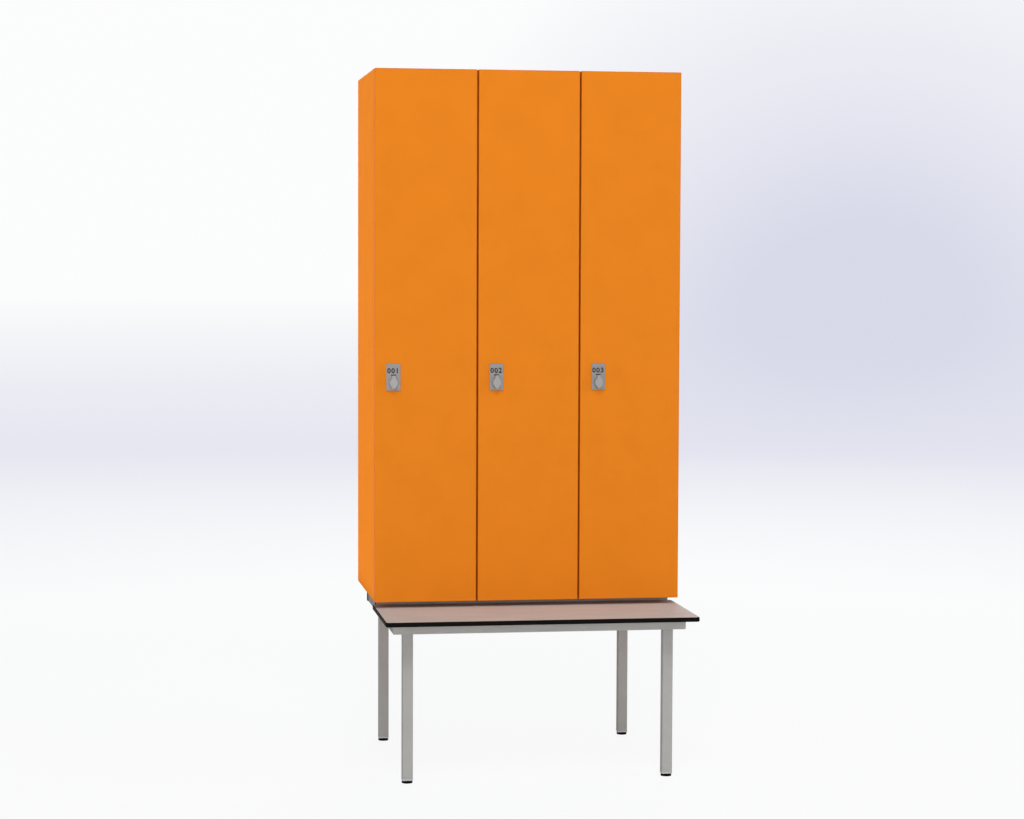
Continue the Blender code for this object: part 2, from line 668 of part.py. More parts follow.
def add_door(number, cup, arm):
    """One door with its hinges and its lock, on the pin axis near its right edge."""
    opening_edge, hinge_edge = door_edges(number)
    left, _ = compartment_faces(number)
    pin_x = hinge_edge - PIN_INSET
    pin_y = DOOR_FRONT + PIN_DEPTH
    middle = (pin_x, pin_y, CABINET_BOTTOM + CABINET_HEIGHT / 2)
    door = add_part(f"door_{number}", door_mesh(), ORANGE_LAMINATE, middle)
    for level, height in zip(("bottom", "middle", "top"), hinge_heights()):
        place = (pin_x, pin_y, height)
        add_part(f"hinge_cup_{number}_{level}", cup.copy(), ZINC, place, door)
        add_part(f"hinge_arm_{number}_{level}", arm.copy(), ZINC, place)
    lock_x = opening_edge + LOCK_INSET
    lock = (lock_x, DOOR_FRONT, CABINET_BOTTOM + LOCK_HEIGHT)
    add_part(f"lock_housing_{number}", housing_mesh(), PLATE_GREY, lock, door)
    add_part(f"lock_knob_{number}", knob_mesh(), ZINC, lock, door)
    add_part(f"lock_cam_{number}", cam_mesh(), ZINC, lock, door)
    add_part(f"strike_plate_{number}", strike_mesh(lock_x - left), ZINC, lock)


def main():
    clear_scene()
    add_rails()
    add_legs()
    add_seat()
    add_carcass()
    cup = cup_mesh()
    for number in DOOR_NUMBERS:
        _, right = compartment_faces(number)
        _, hinge_edge = door_edges(number)
        add_fittings(number)
        add_door(number, cup, arm_mesh(right - hinge_edge + PIN_INSET))


main()
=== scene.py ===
"""The finished look of a three-door locker on a bench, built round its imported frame. Lengths are metres."""

import json
import math

import bpy
from mathutils import Matrix, Vector


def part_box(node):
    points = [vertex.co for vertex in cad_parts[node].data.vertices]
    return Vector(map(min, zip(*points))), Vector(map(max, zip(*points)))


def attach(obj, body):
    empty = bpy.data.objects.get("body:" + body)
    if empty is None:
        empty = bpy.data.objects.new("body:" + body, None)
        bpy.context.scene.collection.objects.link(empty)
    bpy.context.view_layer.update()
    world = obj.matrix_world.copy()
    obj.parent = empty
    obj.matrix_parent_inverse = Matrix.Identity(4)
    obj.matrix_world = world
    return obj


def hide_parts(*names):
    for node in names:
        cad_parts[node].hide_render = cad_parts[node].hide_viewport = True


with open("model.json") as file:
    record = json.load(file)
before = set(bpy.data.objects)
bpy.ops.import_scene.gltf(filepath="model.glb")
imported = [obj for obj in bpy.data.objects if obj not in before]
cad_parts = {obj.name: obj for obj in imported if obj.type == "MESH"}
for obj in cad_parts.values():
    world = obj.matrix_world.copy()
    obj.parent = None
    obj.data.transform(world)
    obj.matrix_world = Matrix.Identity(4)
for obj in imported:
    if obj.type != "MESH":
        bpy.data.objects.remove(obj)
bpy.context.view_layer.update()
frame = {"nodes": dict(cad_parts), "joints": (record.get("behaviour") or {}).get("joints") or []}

DOORS = (1, 2, 3)
LEVELS = ("bottom", "middle", "top")
LOCKER = "locker"

# The clearance between two pieces, which also serves to tell two places apart
GAP = 0.0003
# A face lies across an axis when its normal's share along it passes this
FLAT = 0.999
# The length of a drill that goes right through what it cuts
THROUGH = 0.1
# Edges sharper than this many degrees stay sharp in the shading
SMOOTH_ANGLE = 32

# Camera, as found from the cabinet's and the bench's corners, in metres, degrees and millimetres
CAMERA_PLACE = (-1.1834, -7.3993, 1.4766)
CAMERA_YAW = 8.849
CAMERA_PITCH = -3.296
CAMERA_ROLL = 0.202
CAMERA_LENS = 89.05
SENSOR_WIDTH = 36

# Colours in linear light
ORANGE = (0.840, 0.238, 0.0162)
# This edge colour is the face's orange made darker, as painted shade on the narrow banded edges
ORANGE_EDGE_SHADED = (0.710, 0.165, 0.0095)
PALE_GREY = (0.540, 0.540, 0.525)
GREY_EDGE = (0.470, 0.470, 0.455)
SEAT_BEIGE = (0.640, 0.590, 0.553)
SEAT_CORE = (0.0065, 0.0060, 0.0055)
FRAME_GREY = (0.450, 0.443, 0.421)
PLATE_GREY = (0.290, 0.268, 0.266)
KNOB_GREY = (0.330, 0.325, 0.318)
# Lighter than the frame grey, as a painted highlight along the legs' lower ends
LEG_END_HIGHLIGHT_GREY = (0.520, 0.520, 0.512)
ZINC = (0.600, 0.600, 0.610)
CHROME = (0.700, 0.700, 0.720)
BLACK = (0.0030, 0.0030, 0.0034)
INK = (0.011, 0.009, 0.008)
STAGE_WHITE = (0.860, 0.870, 0.890)
FLOOR_GLOW = (0.995, 0.998, 1.000)
# The backdrop's blue-grey, darker than the floor, is painted shade on the wall
WALL_SHADE_GLOW = (0.695, 0.704, 0.830)
SKY_COLOUR = (0.96, 0.98, 1.00)
SKY_LIGHT = 0.31

# Painted shade on the backdrop is deepest round this place, and pales with height elsewhere
BACKDROP_SHADE_MIDDLE = (5.2, 14.0, 0.9)


# Ways of working


def clear_selection():
    """Back to object mode with nothing selected."""
    if bpy.context.object is not None and bpy.context.object.mode != "OBJECT":
        bpy.ops.object.mode_set(mode="OBJECT")
    bpy.ops.object.select_all(action="DESELECT")


def make_active(piece):
    """Selects one piece alone and makes it active."""
    clear_selection()
    piece.select_set(True)
    bpy.context.view_layer.objects.active = piece


def settle(piece, name):
    """Names a new piece and puts its place, turn and scale into its mesh."""
    make_active(piece)
    piece.name = name
    piece.data.name = name
    bpy.ops.object.transform_apply(location=True, rotation=True, scale=True)
    return piece


def start_box(name, low, high):
    """A cube between two corners, as a start."""
    clear_selection()
    low = Vector(low)
    high = Vector(high)
    bpy.ops.mesh.primitive_cube_add(size=1, location=(low + high) / 2)
    piece = bpy.context.object
    piece.scale = high - low
    return settle(piece, name)


def start_round(name, middle, radius, length, axis, sides=48):
    """A cylinder along an axis, as a start."""
    clear_selection()
    turns = {"X": (0, math.radians(90), 0), "Y": (math.radians(90), 0, 0), "Z": (0, 0, 0)}
    bpy.ops.mesh.primitive_cylinder_add(
        vertices=sides, radius=radius, depth=length, location=middle, rotation=turns[axis]
    )
    return settle(bpy.context.object, name)


def pick_faces(piece, wanted):
    """Edit mode with only those faces selected whose normal is wanted."""
    make_active(piece)
    bpy.ops.object.mode_set(mode="EDIT")
    bpy.ops.mesh.select_mode(type="FACE")
    bpy.ops.mesh.select_all(action="DESELECT")
    bpy.ops.object.mode_set(mode="OBJECT")
    for face in piece.data.polygons:
        face.select = wanted(face.normal)
    bpy.ops.object.mode_set(mode="EDIT")


def pick_edges(piece, wanted):
    """Edit mode with only those edges selected whose two ends are wanted."""
    make_active(piece)
    bpy.ops.object.mode_set(mode="EDIT")
    bpy.ops.mesh.select_mode(type="EDGE")
    bpy.ops.mesh.select_all(action="DESELECT")
    bpy.ops.object.mode_set(mode="OBJECT")
    corners = piece.data.vertices
    for edge in piece.data.edges:
        edge.select = wanted(corners[edge.vertices[0]].co, corners[edge.vertices[1]].co)
    bpy.ops.object.mode_set(mode="EDIT")


def round_picked(width, steps=3):
    """Bevels the picked edges and leaves edit mode."""
    bpy.ops.mesh.bevel(offset=width, segments=steps, affect="EDGES")
    bpy.ops.object.mode_set(mode="OBJECT")


def soften(piece, width, steps=2, angle=40):
    """Rounds every edge sharper than an angle with an applied Bevel."""
    make_active(piece)
    bevel = piece.modifiers.new("edges", "BEVEL")
    bevel.width = width
    bevel.segments = steps
    bevel.limit_method = "ANGLE"
    bevel.angle_limit = math.radians(angle)
    bpy.ops.object.modifier_apply(modifier="edges")
    return piece


def cut(piece, tool):
    """Cuts the second piece out of the first and uses it up."""
    make_active(piece)
    change = piece.modifiers.new("shape", "BOOLEAN")
    change.operation = "DIFFERENCE"
    change.solver = "EXACT"
    change.object = tool
    bpy.ops.object.modifier_apply(modifier="shape")
    bpy.data.objects.remove(tool)
    return piece


def drill(piece, place, radius, sides=48, length=THROUGH):
    """Bores a round hole along Y."""
    bore = start_round("bore", place, radius, length, "Y", sides)
    return cut(piece, bore)


def clean_up(piece):
    """Merges doubled corners, dissolves flat seams and turns every face outward."""
    doubled = 0.00002
    seam_angle = 1
    make_active(piece)
    bpy.ops.object.mode_set(mode="EDIT")
    bpy.ops.mesh.select_all(action="SELECT")
    bpy.ops.mesh.remove_doubles(threshold=doubled)
    bpy.ops.mesh.dissolve_limited(angle_limit=math.radians(seam_angle))
    bpy.ops.mesh.normals_make_consistent(inside=False)
    bpy.ops.object.mode_set(mode="OBJECT")
    return piece


def join(pieces, name):
    """Several loose pieces as one."""
    clear_selection()
    for piece in pieces:
        piece.select_set(True)
    bpy.context.view_layer.objects.active = pieces[0]
    bpy.ops.object.join()
    pieces[0].name = name
    pieces[0].data.name = name
    return pieces[0]


def copy_to(piece, name, offset, facing=None, size=1):
    """A copy with its own mesh, resized, turned so that its top faces a direction, and moved."""
    twin = piece.copy()
    twin.data = piece.data.copy()
    twin.name = name
    twin.data.name = name
    bpy.context.scene.collection.objects.link(twin)
    twin.data.transform(Matrix.Scale(size, 4))
    if facing is not None:
        turn = Vector((0, 0, 1)).rotation_difference(Vector(facing))
        twin.data.transform(turn.to_matrix().to_4x4())
    twin.data.transform(Matrix.Translation(offset))
    return twin


def set_out(master, name, places, facing, size=1):
    """Copies of one small piece at several places, as one piece."""
    return join([copy_to(master, name, place, facing, size) for place in places], name)


def discard(*masters):
    """Removes pieces that were modelled only to be copied."""
    for master in masters:
        bpy.data.objects.remove(master)


def finish(piece, look, body, slot, *stands_for):
    """Gives a piece its look and its body, and hides what it stands for. The slot is not used."""
    make_active(piece)
    bpy.ops.object.shade_smooth_by_angle(angle=math.radians(SMOOTH_ANGLE))
    flat = piece.modifiers.new("flat faces", "WEIGHTED_NORMAL")
    flat.keep_sharp = True
    bpy.ops.object.modifier_apply(modifier="flat faces")
    if look is not None:
        piece.data.materials.clear()
        piece.data.materials.append(LOOKS[look])
    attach(piece, body)
    if stands_for:
        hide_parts(*stands_for)
    return piece


# Finishes


class Finish:
    """A procedural material in the making, on the piece's Object coordinates."""

    def __init__(self, name, colour, roughness, metallic=0, shine=0.5):
        self.made = bpy.data.materials.new(name)
        self.made.use_nodes = True
        self.tree = self.made.node_tree
        self.shader = self.tree.nodes["Principled BSDF"]
        self.shader.inputs["Base Color"].default_value = (*colour, 1)
        self.shader.inputs["Roughness"].default_value = roughness
        self.shader.inputs["Metallic"].default_value = metallic
        self.shader.inputs["Specular IOR Level"].default_value = shine
        self.colour = colour
        self.place = self.node("ShaderNodeTexCoord").outputs["Object"]
        self.paint = None
        self.relief = None

    def node(self, kind, **settings):
        """A new node with its settings."""
        made = self.tree.nodes.new(kind)
        for name, value in settings.items():
            setattr(made, name, value)
        return made

    def link(self, start, end):
        """Joins an output to an input."""
        self.tree.links.new(start, end)

    def stretched(self, scale):
        """The coordinates, stretched by a scale for each axis."""
        mapping = self.node("ShaderNodeMapping")
        mapping.inputs["Scale"].default_value = scale
        self.link(self.place, mapping.inputs["Vector"])
        return mapping.outputs["Vector"]

    def noise(self, scale, detail=3, stretch=(1, 1, 1)):
        """A noise at a scale per metre, stretched along an axis where its share is small."""
        made = self.node("ShaderNodeTexNoise")
        made.inputs["Scale"].default_value = scale
        made.inputs["Detail"].default_value = detail
        self.link(self.stretched(stretch), made.inputs["Vector"])
        return made.outputs["Fac"]

    def ridges(self, scale, direction):
        """Even ridges across a direction, for a thread."""
        made = self.node("ShaderNodeTexWave", bands_direction=direction)
        made.inputs["Scale"].default_value = scale
        self.link(self.place, made.inputs["Vector"])
        return made.outputs["Fac"]

    def spread(self, value, low, high, start=0.35, end=0.65):
        """A value's middle band, spread from low to high."""
        made = self.node("ShaderNodeMapRange")
        made.inputs["From Min"].default_value = start
        made.inputs["From Max"].default_value = end
        made.inputs["To Min"].default_value = low
        made.inputs["To Max"].default_value = high
        self.link(value, made.inputs["Value"])
        return made.outputs["Result"]

    def mottle(self, value, dark, light):
        """Shades the paint between two shares of itself."""
        shares = self.node("ShaderNodeMix", data_type="RGBA")
        self.link(self.spread(value, 0, 1), shares.inputs["Factor"])
        if self.paint is None:
            shares.inputs["A"].default_value = (*[dark * part for part in self.colour], 1)
            shares.inputs["B"].default_value = (*[light * part for part in self.colour], 1)
            self.paint = shares.outputs["Result"]
        else:
            shares.inputs["A"].default_value = (dark, dark, dark, 1)
            shares.inputs["B"].default_value = (light, light, light, 1)
            product = self.node("ShaderNodeMix", data_type="RGBA", blend_type="MULTIPLY")
            product.inputs["Factor"].default_value = 1
            self.link(self.paint, product.inputs["A"])
            self.link(shares.outputs["Result"], product.inputs["B"])
            self.paint = product.outputs["Result"]
        self.link(self.paint, self.shader.inputs["Base Color"])

    def fleck(self, value, colour, start, end):
        """Lays another colour over the paint where a value passes a band."""
        over = self.node("ShaderNodeMix", data_type="RGBA")
        self.link(self.spread(value, 0, 1, start, end), over.inputs["Factor"])
        self.link(self.paint, over.inputs["A"])
        over.inputs["B"].default_value = (*colour, 1)
        self.paint = over.outputs["Result"]
        self.link(self.paint, self.shader.inputs["Base Color"])

    def gloss(self, value, low, high):
        """Varies the roughness with a value."""
        self.link(self.spread(value, low, high), self.shader.inputs["Roughness"])

    def bump(self, value, height, strength=1.0):
        """Raises the surface by a value times a height."""
        made = self.node("ShaderNodeBump")
        made.inputs["Distance"].default_value = height
        made.inputs["Strength"].default_value = strength
        self.link(value, made.inputs["Height"])
        if self.relief is not None:
            self.link(self.relief, made.inputs["Normal"])
        self.relief = made.outputs["Normal"]
        self.link(self.relief, self.shader.inputs["Normal"])


def laminate(name, colour, roughness=0.60):
    """Laminated board face: an even colour, faint clouding and a fine pearl texture."""
    look = Finish(name, colour, roughness, 0, 0.005)
    look.mottle(look.noise(9, 4), 0.980, 1.015)
    look.mottle(look.noise(420, 2), 0.985, 1.010)
    look.gloss(look.noise(60, 4), roughness - 0.05, roughness + 0.06)
    look.bump(look.noise(1100, 2), 0.00006)
    look.bump(look.noise(260, 2), 0.00008, 0.6)
    return look.made


def edge_band(name, colour):
    """Plastic edge strip, smoother than the faces, with faint lines along its length."""
    look = Finish(name, colour, 0.42, 0, 0.01)
    look.mottle(look.noise(14, 3), 0.965, 1.02)
    look.mottle(look.noise(300, 3, (1, 1, 0.06)), 0.98, 1.01)
    look.gloss(look.noise(300, 3, (1, 1, 0.06)), 0.36, 0.50)
    look.bump(look.noise(700, 2, (1, 1, 0.05)), 0.00003)
    return look.made


def seat_laminate():
    """Stone-look seat face with fine light and dark flecks."""
    look = Finish("seat_laminate_face", SEAT_BEIGE, 0.50, 0, 0.005)
    look.mottle(look.noise(6, 5, (1, 3, 1)), 0.96, 1.03)
    look.mottle(look.noise(520, 3), 0.95, 1.04)
    look.fleck(look.noise(900, 2), (0.58, 0.46, 0.40), 0.66, 0.74)
    look.fleck(look.noise(760, 2, (1.1, 0.9, 1)), (0.28, 0.20, 0.17), 0.69, 0.76)
    look.gloss(look.noise(45, 4), 0.50, 0.66)
    look.bump(look.noise(850, 3), 0.00007)
    return look.made


def seat_core():
    """The seat's dark core, with the faint layers that a solid laminate's edge shows."""
    look = Finish("seat_laminate_core", SEAT_CORE, 0.5, 0, 0.01)
    look.mottle(look.noise(40, 3, (0.1, 0.1, 40)), 0.75, 1.5)
    look.gloss(look.noise(120, 3, (0.3, 0.3, 8)), 0.42, 0.60)
    look.bump(look.noise(60, 2, (0.1, 0.1, 40)), 0.00004)
    return look.made


def powder_coat():
    """Grey powder coat with a fine orange peel."""
    look = Finish("frame_powder_coat", FRAME_GREY, 0.46, 0, 0.002)
    look.mottle(look.noise(18, 4), 0.970, 1.025)
    look.mottle(look.noise(700, 2), 0.97, 1.02)
    look.gloss(look.noise(90, 4), 0.46, 0.60)
    look.bump(look.noise(520, 2), 0.00010)
    look.bump(look.noise(130, 2), 0.00012, 0.5)
    return look.made


def moulded_black():
    """Black moulded plastic with a fine spark texture."""
    look = Finish("moulded_black_plastic", BLACK, 0.55, 0, 0.05)
    look.mottle(look.noise(160, 3), 0.8, 1.4)
    look.gloss(look.noise(240, 3), 0.48, 0.64)
    look.bump(look.noise(1500, 2), 0.00005)
    return look.made


def satin_metal(name, colour, roughness, grain=(1, 1, 0.05), metallic=1.0):
    """Metal with fine brushing along one axis and slight handling marks."""
    look = Finish(name, colour, roughness, metallic)
    look.mottle(look.noise(70, 4), 0.95, 1.04)
    look.mottle(look.noise(900, 3, grain), 0.975, 1.02)
    look.gloss(look.noise(900, 3, grain), roughness - 0.06, roughness + 0.08)
    look.bump(look.noise(1600, 2, grain), 0.00003)
    return look.made


def threaded_metal():
    """The lock barrel's fine thread."""
    look = Finish("barrel_thread_zinc", ZINC, 0.38, 1.0)
    look.mottle(look.noise(90, 4), 0.9, 1.04)
    look.gloss(look.noise(400, 3), 0.30, 0.46)
    look.bump(look.ridges(330, "Y"), 0.0005)
    return look.made


def printed_ink():
    """The flat dark ink of the numbers."""
    look = Finish("printed_number", INK, 0.55, 0, 0.25)
    look.mottle(look.noise(900, 3), 0.8, 1.3)
    look.bump(look.noise(1800, 2), 0.00001)
    return look.made


def stage_white():
    """White floor that turns a faint blue-grey on the backdrop, a painted shade that is deepest round one
    place and pales with height. Its shadows stay.
    """
    shade_start = 4.0
    shade_end = 14.5
    full_shade_within = 1.0
    pale_beyond = 4.4
    pales_from_height = -0.3
    pales_to_height = 1.2
    glow_near = 3.0
    glow_far = 9.0
    glow_on_floor = 0.90
    glow_on_wall = 0.97
    look = Finish("stage_white", STAGE_WHITE, 0.95, 0, 0.1)
    look.mottle(look.noise(0.7, 2), 0.99, 1.01)
    glow = look.node("ShaderNodeEmission")
    backdrop_shade = look.node("ShaderNodeMix", data_type="RGBA")
    backdrop_shade.inputs["A"].default_value = (*FLOOR_GLOW, 1)
    backdrop_shade.inputs["B"].default_value = (*WALL_SHADE_GLOW, 1)
    far = look.node("ShaderNodeVectorMath", operation="LENGTH")
    look.link(look.place, far.inputs[0])
    away = look.node("ShaderNodeVectorMath", operation="DISTANCE")
    away.inputs[1].default_value = BACKDROP_SHADE_MIDDLE
    look.link(look.place, away.inputs[0])
    split = look.node("ShaderNodeSeparateXYZ")
    look.link(look.place, split.inputs["Vector"])
    lift = look.node("ShaderNodeMath", operation="MULTIPLY")
    look.link(look.spread(away.outputs["Value"], 0, 1, full_shade_within, pale_beyond), lift.inputs[0])
    look.link(look.spread(split.outputs["Z"], 0, 1, pales_from_height, pales_to_height), lift.inputs[1])
    rest = look.node("ShaderNodeMath", operation="SUBTRACT")
    rest.inputs[0].default_value = 1
    look.link(lift.outputs["Value"], rest.inputs[1])
    amount = look.node("ShaderNodeMath", operation="MULTIPLY")
    look.link(look.spread(far.outputs["Value"], 0, 1, shade_start, shade_end), amount.inputs[0])
    look.link(rest.outputs["Value"], amount.inputs[1])
    look.link(amount.outputs["Value"], backdrop_shade.inputs["Factor"])
    look.link(backdrop_shade.outputs["Result"], glow.inputs["Color"])
    path = look.node("ShaderNodeLightPath")
    seen = look.node("ShaderNodeMath", operation="MAXIMUM")
    look.link(path.outputs["Is Camera Ray"], seen.inputs[0])
    look.link(path.outputs["Is Glossy Ray"], seen.inputs[1])
    share = look.node("ShaderNodeMath", operation="MULTIPLY")
    look.link(seen.outputs["Value"], share.inputs[0])
    strength = look.spread(far.outputs["Value"], glow_on_floor, glow_on_wall, glow_near, glow_far)
    look.link(strength, share.inputs[1])
    both = look.node("ShaderNodeMixShader")
    look.link(share.outputs["Value"], both.inputs["Fac"])
    look.link(look.shader.outputs["BSDF"], both.inputs[1])
    look.link(glow.outputs["Emission"], both.inputs[2])
    look.link(both.outputs["Shader"], look.tree.nodes["Material Output"].inputs["Surface"])
    return look.made


LOOKS = {
    "orange": laminate("orange_laminate_face", ORANGE),
    # The darker orange of the banded edges is painted shade on those narrow faces
    "orange edge shaded": edge_band("orange_edge_band_painted_shade", ORANGE_EDGE_SHADED),
    "grey": laminate("grey_laminate_face", PALE_GREY),
    "grey edge": edge_band("grey_edge_band", GREY_EDGE),
    "seat": seat_laminate(),
    "core": seat_core(),
    "frame": powder_coat(),
    "black": moulded_black(),
    "plate": satin_metal("lock_plate_satin", PLATE_GREY, 0.45, (1, 1, 0.05), 0.2),
    "knob": satin_metal("turn_knob_satin", KNOB_GREY, 0.46, (1, 1, 0.2), 0.4),
    "zinc": satin_metal("zinc_plated_steel", ZINC, 0.33, (1, 0.1, 1)),
    "leg end highlight": satin_metal("leg_end_painted_highlight", LEG_END_HIGHLIGHT_GREY, 0.50, (1, 1, 0.2), 0.2),
    "chrome": satin_metal("chrome_tube", CHROME, 0.14, (0.02, 1, 1)),
    "thread": threaded_metal(),
    "ink": printed_ink(),
}


def dress_nodes():
    """Gives each CAD node that stays in view its procedural finish."""
    looks = (
        ("front_rail", "frame"),
        ("rear_rail", "frame"),
        ("side_rail", "frame"),
        ("cabinet_bearer", "frame"),
        ("leg_", "frame"),
        ("lock_cam", "zinc"),
        ("strike_plate", "zinc"),
        ("hinge_", "zinc"),
    )
    for name, node in frame["nodes"].items():
        for start, look in looks:
            if name.startswith(start):
                node.data.materials.clear()
                node.data.materials.append(LOOKS[look])


# Small fixings, each modelled once


def cross_screw():
    """A pan-head screw with a cross recess, standing on the origin."""
    radius = 0.003
    height = 0.0016
    crown = 0.0011
    recess_long = 0.0018
    recess_wide = 0.0004
    recess_floor = 0.0007
    recess_top = 0.003
    head = start_round("cross_screw", (0, 0, height / 2), radius, height, "Z", sides=28)
    pick_edges(head, lambda a, b: min(a.z, b.z) > height - GAP / 3)
    round_picked(crown, steps=4)
    for long, wide in ((recess_long, recess_wide), (recess_wide, recess_long)):
        slot = start_box("recess", (-long, -wide, recess_floor), (long, wide, recess_top))
        cut(head, slot)
    return head


def hex_bolt():
    """A hexagon bolt head on its washer, standing on the origin."""
    washer_radius = 0.009
    washer_thick = 0.0016
    head_radius = 0.0072
    head_tall = 0.0046
    washer_edge = 0.0004
    chamfer = 0.0007
    head_edge = 0.0002
    place = (0, 0, washer_thick / 2)
    washer = start_round("hex_bolt", place, washer_radius, washer_thick, "Z", sides=36)
    soften(washer, washer_edge)
    place = (0, 0, washer_thick + head_tall / 2)
    head = start_round("hex", place, head_radius, head_tall, "Z", sides=6)
    pick_edges(head, lambda a, b: min(a.z, b.z) > washer_thick + head_tall / 2)
    round_picked(chamfer, steps=2)
    soften(head, head_edge, steps=1, angle=50)
    return join([washer, head], "hex_bolt")


def weld_bead(name, middle, length, axis):
    """A rippled weld bead along X or Y."""
    radius = 0.0020
    rings = 20
    pinch = 0.72
    bead = start_round(name, (0, 0, 0), radius, length, "X", sides=12)
    make_active(bead)
    bpy.ops.object.mode_set(mode="EDIT")
    for ring in range(1, rings):
        bpy.ops.mesh.select_all(action="SELECT")
        place = -length / 2 + length * ring / rings
        bpy.ops.mesh.bisect(plane_co=(place, 0, 0), plane_no=(1, 0, 0))
    bpy.ops.object.mode_set(mode="OBJECT")
    for ring in range(0, rings + 1, 2):
        place = -length / 2 + length * ring / rings
        pick_edges(bead, lambda a, b: abs(a.x - place) < GAP / 2 and abs(b.x - place) < GAP / 2)
        bpy.ops.transform.resize(value=(1, pinch, pinch))
        bpy.ops.object.mode_set(mode="OBJECT")
    turn = 90 if axis == "Y" else 0
    bead.data.transform(Matrix.Rotation(math.radians(turn), 4, "Z"))
    bead.data.transform(Matrix.Translation(middle))
    return bead


# Bench


def add_seat():
    """The seat board with its rounded corners, beige faces and dark core edge."""
    corner = 0.010
    edge = 0.0028
    low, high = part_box("seat_board")
    seat = start_box("seat_solid_laminate", low, high)
    pick_edges(seat, lambda a, b: abs(a.z - b.z) > GAP)
    round_picked(corner, steps=10)
    pick_edges(seat, lambda a, b: abs(a.z - b.z) < GAP)
    round_picked(edge, steps=5)
    seat.data.materials.append(LOOKS["seat"])
    seat.data.materials.append(LOOKS["core"])
    for face in seat.data.polygons:
        face.material_index = 0 if abs(face.normal.z) > FLAT else 1
    finish(seat, None, LOCKER, "seat_laminate", "seat_board")


def add_seat_tabs(screw):
    """Steel tabs under the seat, on the front rail and under the bearer, each with two screws."""
    columns = (-0.27, 0.0, 0.27)
    half = 0.020
    thick = 0.0025
    corner = 0.005
    edge = 0.0004
    screw_spread = 0.010
    screw_size = 1.2
    rail_tab_long = 0.028
    rail_tab_hole = 0.018
    bearer_tab_front = 0.032
    bearer_tab_back = 0.012
    bearer_tab_hole = 0.010
    _, rail_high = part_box("front_rail")
    bearer_low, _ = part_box("cabinet_bearer")
    # Where a tab starts and ends from front to back, and how far behind its start its screws are
    rows = (
        (rail_high.y, rail_high.y + rail_tab_long, rail_tab_hole),
        (bearer_low.y - bearer_tab_front, bearer_low.y + bearer_tab_back, bearer_tab_hole),
    )
    top = bearer_low.z - GAP
    under = top - thick
    tabs = []
    screws = []
    for x in columns:
        for start, end, hole in rows:
            tab = start_box("seat_tab", (x - half, start, under), (x + half, end, top))
            pick_edges(tab, lambda a, b: abs(a.z - b.z) > GAP)
            round_picked(corner, steps=4)
            tabs.append(soften(tab, edge))
            for side in (-screw_spread, screw_spread):
                screws.append((x + side, start + hole, under))
    finish(join(tabs, "seat_tabs"), "frame", LOCKER, "grey_frame_paint")
    heads = set_out(screw, "seat_tab_screws", screws, (0, 0, -1), screw_size)
    finish(heads, "zinc", LOCKER, "zinc_metal")


def add_frame_bolts(bolt):
    """Bolts that hold the cabinet, up through the bearer and the rear rail."""
    columns = (-0.32, 0.14, 0.32)
    places = []
    for node in ("cabinet_bearer", "rear_rail"):
        low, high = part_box(node)
        places += [(x, (low.y + high.y) / 2, low.z) for x in columns]
    finish(set_out(bolt, "cabinet_bolts", places, (0, 0, -1)), "zinc", LOCKER, "zinc_metal")


def add_welds():
    """Beads where each leg meets the rails above it."""
    length = 0.026
    rail_low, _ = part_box("front_rail")
    beads = []
    for end, facing in (("front", -1), ("rear", 1)):
        for hand, side in (("left", -1), ("right", 1)):
            low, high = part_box(f"leg_{end}_{hand}")
            across = ((low.x + high.x) / 2, low.y if facing < 0 else high.y, rail_low.z)
            along = (low.x if side < 0 else high.x, (low.y + high.y) / 2, rail_low.z)
            beads.append(weld_bead("weld", across, length, "X"))
            beads.append(weld_bead("weld", along, length, "Y"))
    finish(join(beads, "leg_welds"), "frame", LOCKER, "grey_frame_paint")


def add_feet():
    """Round glides with a rolled edge and a plug in the leg, and a lighter ring round each leg's end, whose
    light grey is a painted highlight.
    """
    glide_overhang = 0.0010
    rolled_edge = 0.0012
    rim = 0.0035
    dish = 0.0008
    plug_half = 0.0127
    for corner in ("front_left", "front_right", "rear_left", "rear_right"):
        node = f"foot_{corner}"
        low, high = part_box(node)
        leg_low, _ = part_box(f"leg_{corner}")
        middle = (low + high) / 2
        radius = (high.x - low.x) / 2 + glide_overhang
        rise = leg_low.z - GAP
        place = (middle.x, middle.y, rise / 2)
        glide = start_round(f"{node}_glide", place, radius, rise, "Z", sides=64)
        pick_faces(glide, lambda normal: normal.z < -FLAT)
        bpy.ops.mesh.inset(thickness=rim)
        bpy.ops.mesh.extrude_region_move(TRANSFORM_OT_translate={"value": (0, 0, dish)})
        bpy.ops.object.mode_set(mode="OBJECT")
        soften(glide, rolled_edge, steps=4)
        plug_low = (middle.x - plug_half, middle.y - plug_half, rise)
        plug_high = (middle.x + plug_half, middle.y + plug_half, high.z)
        plug = soften(start_box("plug", plug_low, plug_high), rolled_edge)
        finish(join([glide, plug], f"{node}_glide"), "black", LOCKER, "black_plastic", node)
        # A lighter grey ring at each leg's foot: a painted highlight along the leg's lower edge
        ring = leg_end_highlight_ring(Vector((middle.x, middle.y, leg_low.z)))
        ring.name = f"{node}_ring"
        finish(ring, "leg end highlight", LOCKER, "zinc_metal")


def leg_end_highlight_ring(foot):
    """A thin square ring that stands round a leg from the middle of its lower end, where its lighter grey
    gives a painted highlight.
    """
    outer = 0.0154
    outer_corner = 0.0022
    inner = 0.01505
    inner_corner = 0.0018
    tall = 0.0040
    walls = []
    for half, corner in ((outer, outer_corner), (inner, inner_corner)):
        over = half - outer
        wall_low = (foot.x - half, foot.y - half, foot.z + over)
        wall_high = (foot.x + half, foot.y + half, foot.z + tall - over)
        wall = start_box("ring", wall_low, wall_high)
        pick_edges(wall, lambda a, b: abs(a.z - b.z) > GAP)
        round_picked(corner, steps=4)
        walls.append(wall)
    return cut(walls[0], walls[1])


